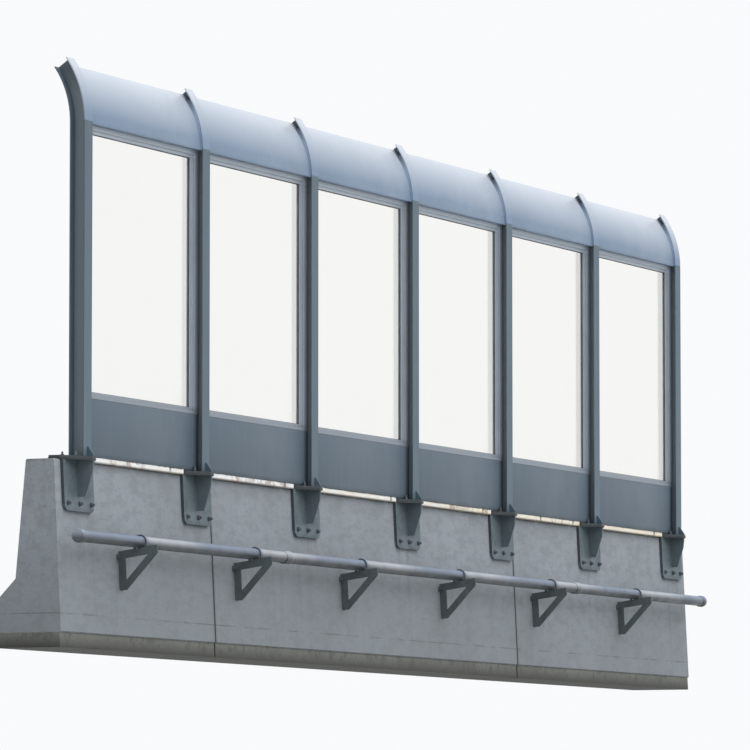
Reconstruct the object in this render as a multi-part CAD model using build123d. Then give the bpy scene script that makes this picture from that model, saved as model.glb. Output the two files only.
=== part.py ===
from build123d import *

import os
from math import atan2, cos, degrees, radians, sin

# Roadside noise barrier on a concrete parapet, six bays long, in millimetres.
# +X runs along the row, +Y points to the road and +Z up.
# The origin is the centre of the base face of the concrete.

# Row
bay_pitch = 2000.0
bay_count = 6
row_overhang = 340.0
movement_joint_gap = 20.0
movement_joint_offset = 268.0
movement_joint_bay_count = 3

# Edge beam under the parapet
beam_height = 250.0
beam_depth = 554.0
drip_band_height = 107.0
drip_band_setback = 12.0

# Parapet, with an outer face that leans back from the base to the top
parapet_height = 1130.0
wall_lean = 69.0
parapet_top_depth = 230.0
parapet_toe_height = 75.0
parapet_knee_height = 255.0
parapet_knee_depth = 310.0
parapet_top_chamfer = 10.0

# Post: a wide-flange steel section, straight and then curved over the road
post_width = 125.0
post_depth = 125.0
web_thickness = 6.5
flange_thickness = 9.0
post_standoff = 104.0
straight_height = 2500.0
crook_radius = 850.0
crook_angle = 35.0

# Foot of the post: a plate on the bracket's ledge, with a stiffener under the web
foot_margin = 3.0
foot_thickness = 16.0
foot_bolt_spacing_x = 210.0
foot_bolt_row = 44.0
foot_bolt_hole_radius = 11.0
stiffener_thickness = 12.0
stiffener_height = 72.0
stiffener_edge = 8.0

# Bracket that hangs each post on the parapet
ledge_width = 500.0
ledge_nose_width = 56.0
ledge_reach = 160.0
ledge_lap = 95.0
ledge_thickness = 14.0
bracket_plate_width = 480.0
bracket_plate_height = 377.0
bracket_plate_thickness = 24.0
bracket_corner_radius = 60.0
gusset_thickness = 12.0
gusset_height = 266.0
gusset_nose_setback = 4.0
gusset_shoulder_setback = 12.0
gusset_shoulder_drop = 85.0
gusset_tip_depth = 78.0
anchor_drop = 318.0
anchor_spacing = 185.0
anchor_count = 3
anchor_hole_radius = 11.0

# Infill between the posts
infill_depth = 55.0
infill_back_gap = 2.0
infill_end_gap = 8.0
bed_height = 40.0
bed_front_setback = 4.0
bed_reach = 80.0
bed_end_gap = 5.0
lower_panel_height = 430.0
panel_rim_width = 45.0
panel_field_depth = 4.0

# Glazed frame
stile_width = 123.0
top_rail_height = 62.0
bottom_rail_height = 48.0
side_bead_width = 44.0
top_bead_width = 26.0
bottom_bead_width = 24.0
glazing_bead_setback = 14.0
glass_thickness = 15.0
glass_face_gap = 0.25
groove_depth = 16.0
glass_edge_gap = 3.0
glass_seat_gap = 0.3

# Curved top panel
top_panel_foot_swell = 43.0
top_panel_tip_swell = 2.0
top_panel_tip_setback = 8.0
top_panel_rim_width = 70.0
top_panel_rim_height = 34.0

# Conduit along the outer face
conduit_radius = 44.5
coupling_radius = 51.0
coupling_length = 120.0
coupling_offset = 1250.0
coupling_bay_count = 3
cap_length = 70.0
conduit_standoff = 172.0
conduit_drop = 570.0
conduit_seat_gap = 0.3
support_offset = 680.0
support_angle_leg = 60.0
support_angle_thickness = 6.0
support_arm_length = 325.0
support_arm_rise = 8.0
support_wall_leg_length = 288.0
support_brace_width = 54.0

# How far a cutting solid runs past the face that it cuts
cut_overrun = 1.0

# Places that follow from the sizes
wall_top = beam_height + parapet_height
wall_foot = -beam_depth / 2
wall_line = wall_foot + wall_lean
wall_slope = degrees(atan2(wall_lean, wall_top))
row_length = bay_pitch * bay_count
row_end = row_length / 2 + row_overhang
post_front = wall_line - post_standoff
post_back = post_front + post_depth
spring_level = wall_top + straight_height
crook_axis_y = post_front + crook_radius
infill_back = post_back - flange_thickness - infill_back_gap
infill_front = infill_back - infill_depth
groove_middle = (infill_front + glazing_bead_setback + infill_back) / 2
infill_width = bay_pitch - web_thickness - 2 * infill_end_gap
foot_level = wall_top + ledge_thickness
ledge_nose = wall_line - ledge_reach
bed_top = wall_top + bed_height
glazing_level = bed_top + lower_panel_height
conduit_level = wall_top - conduit_drop
arm_level = (
    conduit_level
    - conduit_standoff * sin(radians(support_arm_rise))
    - (conduit_radius + conduit_seat_gap) * cos(radians(support_arm_rise))
)

post_places = [index * bay_pitch - row_length / 2 for index in range(bay_count + 1)]
bay_places = [place + bay_pitch / 2 for place in post_places[:-1]]


def wall_face_at(level):
    return wall_foot + wall_lean * level / wall_top


def beside_arm(outward, upward):
    # A (y, z) point counted from the root of the supports' arms, along them and square to them
    rise = radians(support_arm_rise)
    root_y = wall_face_at(arm_level)
    return (
        root_y - outward * cos(rise) + upward * sin(rise),
        arm_level + outward * sin(rise) + upward * cos(rise),
    )


def block(x_range, y_range, z_range):
    width = x_range[1] - x_range[0]
    depth = y_range[1] - y_range[0]
    height = z_range[1] - z_range[0]
    centre = (sum(x_range) / 2, sum(y_range) / 2, sum(z_range) / 2)
    return Pos(*centre) * Box(width, depth, height)


def side_profile(points, x_start, x_end):
    # A closed outline of (y, z) points, extruded along the row
    outline = make_face(Plane.YZ * Polyline(*points, close=True))
    return Pos(x_start, 0, 0) * extrude(outline, amount=x_end - x_start, dir=(1, 0, 0))


def segment_ranges():
    joint_posts = post_places[1:-1:movement_joint_bay_count]
    joints = [place + movement_joint_offset for place in joint_posts]
    starts = [-row_end] + [joint + movement_joint_gap / 2 for joint in joints]
    ends = [joint - movement_joint_gap / 2 for joint in joints] + [row_end]
    return list(zip(starts, ends))


def make_parapet_segment(x_start, x_end):
    # Leaning outer face, and a road side with toe, lower slope and steep upper slope
    back_top = wall_line + parapet_top_depth
    chamfer_level = wall_top - parapet_top_chamfer
    outline = [
        (wall_face_at(beam_height), beam_height),
        (wall_face_at(chamfer_level), chamfer_level),
        (wall_line + parapet_top_chamfer, wall_top),
        (back_top - parapet_top_chamfer, wall_top),
        (back_top, chamfer_level),
        (wall_line + parapet_knee_depth, beam_height + parapet_knee_height),
        (beam_depth / 2, beam_height + parapet_toe_height),
        (beam_depth / 2, beam_height),
    ]
    return side_profile(outline, x_start, x_end)


def make_edge_beam(x_start, x_end):
    # The drip band at the foot is set back from the face above it
    shoulder_level = drip_band_height + drip_band_setback
    outline = [
        (wall_foot + drip_band_setback, 0),
        (wall_face_at(drip_band_height) + drip_band_setback, drip_band_height),
        (wall_face_at(shoulder_level), shoulder_level),
        (wall_face_at(beam_height), beam_height),
        (beam_depth / 2, beam_height),
        (beam_depth / 2, 0),
    ]
    return side_profile(outline, x_start, x_end)


def make_ledge_outline(x):
    # Full width over the wall, then a taper to a nose under the post's stiffener
    half_width = ledge_width / 2
    half_nose = ledge_nose_width / 2
    corners = [
        (x - half_width, wall_line + ledge_lap),
        (x - half_width, wall_line),
        (x - half_nose, ledge_nose),
        (x + half_nose, ledge_nose),
        (x + half_width, wall_line),
        (x + half_width, wall_line + ledge_lap),
    ]
    return make_face(Polyline(*corners, close=True))


def make_post_bracket(x):
    # The back plate lies on the leaning wall face
    plate_bottom = wall_top - bracket_plate_height
    plate_points = [
        (wall_line, wall_top),
        (wall_face_at(plate_bottom), plate_bottom),
        (wall_face_at(plate_bottom) - bracket_plate_thickness, plate_bottom),
        (wall_line - bracket_plate_thickness, wall_top),
    ]
    half_width = bracket_plate_width / 2
    plate = side_profile(plate_points, x - half_width, x + half_width)
    low_edges = plate.edges().filter_by(Axis.Y).group_by(Axis.Z)[0]
    plate = fillet(low_edges, bracket_corner_radius)

    anchor_level = wall_top - anchor_drop
    drill_length = 2 * (bracket_plate_thickness + cut_overrun)
    drill = Rot(90 - wall_slope, 0, 0) * Cylinder(anchor_hole_radius, drill_length)
    for index in range(anchor_count):
        anchor_x = x + (index - (anchor_count - 1) / 2) * anchor_spacing
        plate -= Pos(anchor_x, wall_face_at(anchor_level), anchor_level) * drill

    ledge = extrude(Pos(0, 0, wall_top) * make_ledge_outline(x), amount=ledge_thickness)
    gusset_bottom = wall_top - gusset_height
    gusset_foot = wall_face_at(gusset_bottom)
    gusset_points = [
        (wall_line - bracket_plate_thickness, wall_top),
        (ledge_nose + gusset_nose_setback, wall_top),
        (ledge_nose + gusset_shoulder_setback, wall_top - gusset_shoulder_drop),
        (gusset_foot - gusset_tip_depth, gusset_bottom),
        (gusset_foot - bracket_plate_thickness, gusset_bottom),
    ]
    gusset = side_profile(gusset_points, x - gusset_thickness / 2, x + gusset_thickness / 2)
    return plate + ledge + gusset


def make_post_section():
    section = Rectangle(post_width, post_depth)
    channel_width = (post_width - web_thickness) / 2
    channel_depth = post_depth - 2 * flange_thickness
    for side in (-1, 1):
        channel_x = side * (web_thickness + channel_width) / 2
        section -= Pos(channel_x, 0) * Rectangle(channel_width, channel_depth)
    return section


def make_post(x):
    shaft_level = foot_level + foot_thickness
    section = Pos(x, post_front + post_depth / 2, 0) * make_post_section()
    shaft = extrude(Pos(0, 0, shaft_level) * section, amount=spring_level - shaft_level)
    crook_axis = Axis((x, crook_axis_y, spring_level), (-1, 0, 0))
    crook = revolve(Pos(0, 0, spring_level) * section, crook_axis, crook_angle)

    # The foot plate repeats the ledge's outline, a little smaller
    foot_outline = offset(make_ledge_outline(x), amount=-foot_margin, kind=Kind.INTERSECTION)
    foot = extrude(Pos(0, 0, foot_level) * foot_outline, amount=foot_thickness)
    drill = Cylinder(foot_bolt_hole_radius, 2 * (foot_thickness + cut_overrun))
    for side in (-1, 1):
        foot -= Pos(x + side * foot_bolt_spacing_x / 2, post_front + foot_bolt_row, foot_level) * drill

    # A stiffener in the plane of the web braces the outer flange
    stiffener_points = [
        (post_front, shaft_level),
        (ledge_nose + foot_margin, shaft_level),
        (ledge_nose + foot_margin, shaft_level + stiffener_edge),
        (post_front - stiffener_edge, shaft_level + stiffener_height),
        (post_front, shaft_level + stiffener_height),
    ]
    half_stiffener = stiffener_thickness / 2
    stiffener = side_profile(stiffener_points, x - half_stiffener, x + half_stiffener)
    return shaft + crook + foot + stiffener


def make_bed(x):
    # Strip under the panel, between two ledges
    half_length = (bay_pitch - ledge_width) / 2 - bed_end_gap
    y_range = (infill_front + bed_front_setback, wall_line + bed_reach)
    return block((x - half_length, x + half_length), y_range, (wall_top, bed_top))


def make_lower_panel(x):
    # Plain outside, with a sunk field inside a rim on the road side
    half_width = infill_width / 2
    half_field = half_width - panel_rim_width
    panel = block((x - half_width, x + half_width), (infill_front, infill_back), (bed_top, glazing_level))
    return panel - block(
        (x - half_field, x + half_field),
        (infill_back - panel_field_depth, infill_back + cut_overrun),
        (bed_top + panel_rim_width, glazing_level - panel_rim_width),
    )


def opening_ranges(x, side_margin=0, top_margin=0, bottom_margin=0):
    # Clear opening of the glazed frame, widened by margins
    half_width = infill_width / 2 - stile_width + side_margin
    low = glazing_level + bottom_rail_height - bottom_margin
    high = spring_level - top_rail_height + top_margin
    return (x - half_width, x + half_width), (low, high)


def make_glass_frame(x):
    half_width = infill_width / 2
    z_range = (glazing_level, spring_level)
    frame = block((x - half_width, x + half_width), (infill_front, infill_back), z_range)
    opening_x, opening_z = opening_ranges(x)
    frame -= block(opening_x, (infill_front - cut_overrun, infill_back + cut_overrun), opening_z)
    bead_x, bead_z = opening_ranges(x, side_bead_width, top_bead_width, bottom_bead_width)
    frame -= block(bead_x, (infill_front - cut_overrun, infill_front + glazing_bead_setback), bead_z)
    groove_x, groove_z = opening_ranges(x, groove_depth, groove_depth, groove_depth)
    half_groove = glass_thickness / 2 + glass_face_gap
    frame -= block(groove_x, (groove_middle - half_groove, groove_middle + half_groove), groove_z)
    return frame


def make_glass_sheet(x):
    reach = groove_depth - glass_edge_gap
    sheet_x, sheet_z = opening_ranges(x, reach, reach, groove_depth - glass_seat_gap)
    y_range = (groove_middle - glass_thickness / 2, groove_middle + glass_thickness / 2)
    return block(sheet_x, y_range, sheet_z)


def make_top_panel(x):
    # The back follows the post, and the smooth front swells out, most of all at the foot
    back_radius = crook_radius - (infill_back - post_front)
    tip_radius = crook_radius - (infill_front - post_front) + top_panel_tip_swell
    tip_angle = crook_angle - degrees(top_panel_tip_setback / crook_radius)
    tip_cos = cos(radians(tip_angle))
    tip_sin = sin(radians(tip_angle))
    back_foot = (infill_back, spring_level)
    back_tip = (crook_axis_y - back_radius * tip_cos, spring_level + back_radius * tip_sin)
    front_foot = (infill_front - top_panel_foot_swell, spring_level)
    front_tip = (crook_axis_y - tip_radius * tip_cos, spring_level + tip_radius * tip_sin)
    edges = [
        Line(back_foot, front_foot),
        TangentArc(front_foot, front_tip, tangent=(0, 1)),
        Line(front_tip, back_tip),
        TangentArc(back_foot, back_tip, tangent=(0, 1)),
    ]
    outline = Plane.YZ * make_face(edges)
    half_width = infill_width / 2
    panel = Pos(x - half_width, 0, 0) * extrude(outline, amount=infill_width, dir=(1, 0, 0))

    # A shallow field inside a rim on the road side, part of a ring about the crook's axis
    rim_angle = degrees(top_panel_rim_height / back_radius)
    field_axis = Axis((x, crook_axis_y, spring_level), (-1, 0, 0))
    half_field = half_width - top_panel_rim_width
    field_start = Rectangle(2 * half_field, 2 * panel_field_depth)
    field_start = Pos(x, infill_back, spring_level) * field_start
    field = revolve(field_start.rotate(field_axis, rim_angle), field_axis, tip_angle - 2 * rim_angle)
    return panel - field


def rod_along_row(x, radius, length):
    conduit_y, _ = beside_arm(conduit_standoff, conduit_radius + conduit_seat_gap)
    return Pos(x, conduit_y, conduit_level) * Rot(0, 90, 0) * Cylinder(radius, length)


def make_conduit():
    # One pipe with a sleeve coupling in every third bay and a cap at each end
    cap_place = row_end - cap_length / 2
    conduit = rod_along_row(0, conduit_radius, 2 * row_end - cap_length)
    for post_x in post_places[1:-1:coupling_bay_count]:
        conduit += rod_along_row(post_x + coupling_offset, coupling_radius, coupling_length)
    for cap_x in (-cap_place, cap_place):
        conduit += rod_along_row(cap_x, coupling_radius, cap_length)
    return conduit


def meeting_point(first, first_slope, second, second_slope):
    # Where two lines in the (y, z) plane cross, each given by a point and its angle
    turn = sin(second_slope - first_slope)
    reach = (second[0] - first[0]) * sin(second_slope) - (second[1] - first[1]) * cos(second_slope)
    return (first[0] + cos(first_slope) * reach / turn, first[1] + sin(first_slope) * reach / turn)


def make_conduit_support(x):
    # A triangle of angle steel: a leg on the wall, an arm that rises a little outwards, and a brace
    leg = support_angle_leg
    thickness = support_angle_thickness
    leg_bottom = arm_level - support_wall_leg_length
    brace_foot = (wall_face_at(leg_bottom) - leg, leg_bottom)
    arm_end = beside_arm(support_arm_length, -leg)
    brace_slope = atan2(arm_end[1] - brace_foot[1], arm_end[0] - brace_foot[0])
    frame_points = [
        beside_arm(0, 0),
        beside_arm(support_arm_length, 0),
        arm_end,
        brace_foot,
        (wall_face_at(leg_bottom), leg_bottom),
    ]

    # The open triangle between leg, arm and brace
    leg_slope = radians(90 - wall_slope)
    arm_slope = radians(180 - support_arm_rise)
    brace_inside = (
        brace_foot[0] + support_brace_width * sin(brace_slope),
        brace_foot[1] - support_brace_width * cos(brace_slope),
    )
    arm_underside = beside_arm(0, -leg)
    window_points = [
        meeting_point(brace_foot, leg_slope, arm_underside, arm_slope),
        meeting_point(brace_inside, brace_slope, arm_underside, arm_slope),
        meeting_point(brace_foot, leg_slope, brace_inside, brace_slope),
    ]
    web_range = (x - leg / 2, x - leg / 2 + thickness)
    support = side_profile(frame_points, *web_range) - side_profile(window_points, *web_range)

    # The flanges on the wall and under the pipe
    flange_range = (x - leg / 2, x + leg / 2)
    wall_flange_points = [
        (wall_face_at(arm_level), arm_level),
        (wall_face_at(arm_level) - thickness, arm_level),
        (wall_face_at(leg_bottom) - thickness, leg_bottom),
        (wall_face_at(leg_bottom), leg_bottom),
    ]
    arm_flange_points = [
        beside_arm(0, 0),
        beside_arm(support_arm_length, 0),
        beside_arm(support_arm_length, -thickness),
        beside_arm(0, -thickness),
    ]
    support += side_profile(wall_flange_points, *flange_range)
    support += side_profile(arm_flange_points, *flange_range)
    return support


def numbered(name, places, maker):
    return {f"{name}_{index + 1}": maker(place) for index, place in enumerate(places)}


def make_parts():
    ranges = segment_ranges()
    support_places = [place + support_offset for place in post_places[:-1]]
    parts = {"edge_beam": Compound([make_edge_beam(*x_range) for x_range in ranges])}
    parts.update(numbered("parapet_segment", ranges, lambda x_range: make_parapet_segment(*x_range)))
    parts.update(numbered("post_bracket", post_places, make_post_bracket))
    parts.update(numbered("post", post_places, make_post))
    parts["bedding_strip"] = Compound([make_bed(place) for place in bay_places])
    parts.update(numbered("lower_panel", bay_places, make_lower_panel))
    parts.update(numbered("glass_frame", bay_places, make_glass_frame))
    parts.update(numbered("glass_sheet", bay_places, make_glass_sheet))
    parts.update(numbered("top_panel", bay_places, make_top_panel))
    parts["conduit"] = make_conduit()
    parts["conduit_brackets"] = Compound([make_conduit_support(place) for place in support_places])
    return parts


os.makedirs("parts", exist_ok=True)
for node_name, node_shape in make_parts().items():
    export_step(node_shape, f"parts/{node_name}.step")
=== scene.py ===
import bpy
import bmesh
import random
from math import asin, atan2, cos, pi, radians, sin
from mathutils import Matrix, Vector


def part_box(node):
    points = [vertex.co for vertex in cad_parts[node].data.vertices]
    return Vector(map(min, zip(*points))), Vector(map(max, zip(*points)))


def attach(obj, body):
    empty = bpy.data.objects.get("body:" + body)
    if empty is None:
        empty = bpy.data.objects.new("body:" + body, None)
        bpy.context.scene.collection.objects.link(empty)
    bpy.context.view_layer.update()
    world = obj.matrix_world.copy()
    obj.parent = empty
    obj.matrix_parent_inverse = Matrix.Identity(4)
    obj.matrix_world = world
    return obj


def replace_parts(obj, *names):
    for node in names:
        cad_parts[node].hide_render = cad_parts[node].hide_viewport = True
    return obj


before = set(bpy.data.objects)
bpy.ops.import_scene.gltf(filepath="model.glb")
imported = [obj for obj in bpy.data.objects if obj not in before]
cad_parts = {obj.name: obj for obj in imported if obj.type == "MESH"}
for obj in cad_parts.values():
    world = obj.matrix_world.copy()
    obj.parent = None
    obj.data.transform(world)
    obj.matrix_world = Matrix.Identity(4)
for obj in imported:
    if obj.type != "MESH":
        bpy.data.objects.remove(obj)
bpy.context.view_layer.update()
print("frame loaded")

# Sizes in metres. +X runs along the row, +Y points to the road.
row = dict(bays=6, pitch=2.0, springLevel=3.88, wallTop=1.38, footPlateTop=1.41)
postPlaces = [row["pitch"] * (index - row["bays"] / 2) for index in range(row["bays"] + 1)]
bayPlaces = [place + row["pitch"] / 2 for place in postPlaces[:-1]]
bayNumbers = range(1, row["bays"] + 1)


# Small helpers for meshes

def finishPiece(bm, name, material, smoothAngle, extraMaterials=()):
    mesh = bpy.data.meshes.new(name)
    bm.to_mesh(mesh)
    bm.free()
    piece = bpy.data.objects.new(name, mesh)
    bpy.context.scene.collection.objects.link(piece)
    for used in (material, *extraMaterials):
        mesh.materials.append(used)
    if smoothAngle:
        mesh.shade_smooth()
        mesh.set_sharp_from_angle(angle=radians(smoothAngle))
    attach(piece, "root")
    return piece


def bevelEdges(bm, edges, offset, steps):
    bmesh.ops.bevel(bm, geom=list(edges), offset=offset, segments=steps, profile=0.5, affect="EDGES",
                    material=-1)


def bevelSharp(bm, angle, offset, steps):
    bm.normal_update()
    bevelEdges(bm, [e for e in bm.edges if e.calc_face_angle(0) > radians(angle)], offset, steps)


def addBlock(bm, low, high, edge=0, steps=1):
    # A block between two corners, bevelled where an edge is given
    made = bmesh.ops.create_cube(bm, size=1.0)["verts"]
    size = [high[axis] - low[axis] for axis in range(3)]
    middle = [(high[axis] + low[axis]) / 2 for axis in range(3)]
    bmesh.ops.scale(bm, vec=size, verts=made)
    bmesh.ops.translate(bm, vec=middle, verts=made)
    if edge:
        bevelEdges(bm, {e for v in made for e in v.link_edges}, edge, steps)
    return made


def addRod(bm, radius, length, matrix, sides, edge=0):
    # A rod along the matrix's own Z, centred on it
    made = bmesh.ops.create_cone(bm, cap_ends=True, segments=sides, radius1=radius, radius2=radius,
                                 depth=length, matrix=matrix)["verts"]
    if edge:
        rims = {e for v in made for e in v.link_edges if any(len(f.verts) > 4 for f in e.link_faces)}
        bevelEdges(bm, rims, edge, 2)


def aimAlong(place, direction):
    return Matrix.Translation(place) @ Vector(direction).to_track_quat("Z", "Y").to_matrix().to_4x4()


# Shares of the thread's diameter
nutShape = dict(washer=0.16, washerRadius=1.05, nut=0.8, nutRadius=0.9, nutEdge=0.06, studRadius=0.5,
                studEdge=0.07)


def addNutAndStud(bm, place, direction, size, stickOut, turn):
    # Washer, hexagon nut and stud end on the face at place
    share = nutShape
    direction = Vector(direction).normalized()
    washer, nut = size * share["washer"], size * share["nut"]
    stud = stickOut - washer

    def along(reach):
        return aimAlong(Vector(place) + direction * reach, direction)

    addRod(bm, size * share["washerRadius"], washer, along(washer / 2), 16)
    addRod(bm, size * share["nutRadius"], nut, along(washer + nut / 2) @ Matrix.Rotation(turn, 4, "Z"), 6,
           size * share["nutEdge"])
    addRod(bm, size * share["studRadius"], stud, along(washer + stud / 2), 12, size * share["studEdge"])


def stamp(bm, part, matrix):
    # Adds a copy of another bmesh, moved by the matrix
    copy = bpy.data.meshes.new("copy")
    part.to_mesh(copy)
    copy.transform(matrix)
    bm.from_mesh(copy)
    bpy.data.meshes.remove(copy)


# Small helpers for materials

def feed(tree, node, inputs):
    # Links sockets to a node's inputs and sets plain values there
    for name, value in inputs.items():
        if isinstance(value, bpy.types.NodeSocket):
            tree.links.new(value, node.inputs[name])
        else:
            node.inputs[name].default_value = value
    return node


def addNode(tree, kind, inputs, **settings):
    made = tree.nodes.new(kind)
    for name, value in settings.items():
        setattr(made, name, value)
    return feed(tree, made, inputs)


def mathOf(tree, operation, first, second=0.0):
    return addNode(tree, "ShaderNodeMath", {0: first, 1: second}, operation=operation).outputs[0]


def timesOf(tree, first, second):
    return mathOf(tree, "MULTIPLY", first, second)


def sumOf(tree, first, second):
    return mathOf(tree, "ADD", first, second)


def lessOf(tree, first, second):
    return mathOf(tree, "SUBTRACT", first, second)


def apartOf(tree, first, second):
    return mathOf(tree, "ABSOLUTE", lessOf(tree, first, second))


def lengthOf(tree, first, second):
    # Length of the long side of a right triangle
    squares = sumOf(tree, timesOf(tree, first, first), timesOf(tree, second, second))
    return mathOf(tree, "SQRT", squares)


def mixOf(tree, factor, first, second):
    return addNode(tree, "ShaderNodeMix", {0: factor, 6: first, 7: second}, data_type="RGBA",
                   blend_type="MIX").outputs[2]


def tinted(tree, base, tone, mask, share):
    # The base with a tone laid over it by a mask, weakened by the share
    return mixOf(tree, timesOf(tree, mask, share), base, tone)


def spanOf(tree, value, low, high, lowTo=0.0, highTo=1.0):
    # From lowTo at low to highTo at high. The looks below give such spans as tuples.
    made = addNode(tree, "ShaderNodeMapRange", {"Value": value, "From Min": low, "From Max": high,
                                                "To Min": lowTo, "To Max": highTo}, clamp=True)
    return made.outputs[0]


def noiseOf(tree, vector, scale, detail=3.0, roughness=0.5):
    return addNode(tree, "ShaderNodeTexNoise", {"Vector": vector, "Scale": scale, "Detail": detail,
                                                "Roughness": roughness}).outputs[0]


def stretched(tree, vector, scale):
    return addNode(tree, "ShaderNodeMapping", {"Vector": vector, "Scale": scale}).outputs[0]


def axesOf(tree, vector):
    return addNode(tree, "ShaderNodeSeparateXYZ", {0: vector}).outputs


def colour(red, green, blue):
    # Screen values from 0 to 255, made linear
    def linear(value):
        value /= 255
        return value / 12.92 if value <= 0.04045 else ((value + 0.055) / 1.055) ** 2.4
    return (linear(red), linear(green), linear(blue), 1.0)


def newMaterial(name):
    material = bpy.data.materials.new(name)
    material.use_nodes = True
    tree = material.node_tree
    shader = tree.nodes["Principled BSDF"]
    place = tree.nodes.new("ShaderNodeTexCoord").outputs["Object"]
    return material, tree, shader, place


def addBump(tree, shader, height, distance, strength):
    bump = addNode(tree, "ShaderNodeBump", {"Height": height, "Distance": distance, "Strength": strength})
    tree.links.new(bump.outputs[0], shader.inputs["Normal"])


def toPost(tree, along):
    # Distance in metres to the nearest post. Whole pitches added keep the share positive.
    share = mathOf(tree, "FRACT", sumOf(tree, timesOf(tree, along, 1 / row["pitch"]), 50.5))
    return timesOf(tree, apartOf(tree, share, 0.5), row["pitch"])


def newGroup(name, inputs, outputs):
    group = bpy.data.node_groups.new(name, "ShaderNodeTree")
    for label, kind, value in inputs:
        socket = group.interface.new_socket(label, in_out="INPUT", socket_type=kind)
        if value is not None:
            socket.default_value = value
    for label, kind in outputs:
        group.interface.new_socket(label, in_out="OUTPUT", socket_type=kind)
    given = group.nodes.new("NodeGroupInput").outputs
    result = group.nodes.new("NodeGroupOutput").inputs
    return group, given, result


def grimeOf(tree, place, scale, fine):
    return addNode(tree, "ShaderNodeGroup", {"Vector": place, "Scale": scale, "Fine": fine},
                   node_tree=grime).outputs


def runsOf(tree, place, width, length, cover):
    return addNode(tree, "ShaderNodeGroup", {"Vector": place, "Width": width, "Length": length,
                                             "Cover": cover}, node_tree=rainMarks).outputs[0]


# Vertical run marks, broken up along their length
rainMarks, given, result = newGroup(
    "rainMarks",
    [("Vector", "NodeSocketVector", None), ("Width", "NodeSocketFloat", 12.0),
     ("Length", "NodeSocketFloat", 0.6), ("Cover", "NodeSocketFloat", 0.5)],
    [("Mask", "NodeSocketFloat")])
scale = addNode(rainMarks, "ShaderNodeCombineXYZ",
                {0: given["Width"], 1: given["Width"], 2: given["Length"]}).outputs[0]
scaled = addNode(rainMarks, "ShaderNodeVectorMath", {0: given["Vector"], 1: scale},
                 operation="MULTIPLY").outputs[0]
runs = noiseOf(rainMarks, scaled, 1.0, 5.0, 0.6)
edgeLow = lessOf(rainMarks, 1.0, given["Cover"])
softRuns = spanOf(rainMarks, lessOf(rainMarks, runs, timesOf(rainMarks, edgeLow, 0.5)), 0.18, 0.42)
rainMarks.links.new(softRuns, result["Mask"])

# Cloudy dirt with a fine speckle
grime, given, result = newGroup(
    "grime",
    [("Vector", "NodeSocketVector", None), ("Scale", "NodeSocketFloat", 3.0),
     ("Fine", "NodeSocketFloat", 90.0)],
    [("Cloud", "NodeSocketFloat"), ("Speckle", "NodeSocketFloat"), ("Mask", "NodeSocketFloat")])
cloud = noiseOf(grime, given["Vector"], given["Scale"], 6.0, 0.62)
speckle = noiseOf(grime, given["Vector"], given["Fine"], 3.0, 0.6)
together = sumOf(grime, timesOf(grime, cloud, 0.7), timesOf(grime, speckle, 0.3))
grime.links.new(spanOf(grime, cloud, 0.3, 0.7), result["Cloud"])
grime.links.new(spanOf(grime, speckle, 0.3, 0.7), result["Speckle"])
grime.links.new(spanOf(grime, together, 0.45, 0.62), result["Mask"])
print("shared node groups made")


# Materials

joints = dict(posts=(1, 4), offset=0.268, gap=0.02, foot=0.004, frontSetback=0.02, depth=0.25,
              topSetback=0.02)
concreteLook = dict(plain=colour(150, 156, 162), pale=colour(160, 166, 172), dark=colour(124, 129, 131),
                    low=colour(138, 144, 148), lowLevel=(1.15, 0.6), lowShare=0.7, stain=colour(84, 82, 78),
                    cloud=0.34, speckle=0.26, mottle=0.4, pores=0.55, runs=0.07, runsUnderPlate=0.16,
                    runWidth=(0.26, 0.18), runReach=(0.35, 0.98), beside=(0.045, 0.01, 0.0, 0.4),
                    bedLine=0.25, bedLineWidth=(0.007, 0.002), underBeddingBand=(1.352, 1.374), dirtShare=0.5)
bandLook = dict(plain=colour(117, 117, 109), foot=colour(58, 57, 48), blotch=colour(64, 62, 54), top=0.113,
                ragged=0.012, blotches=0.45, stains=0.35, share=0.9, relief=2.0)


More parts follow.
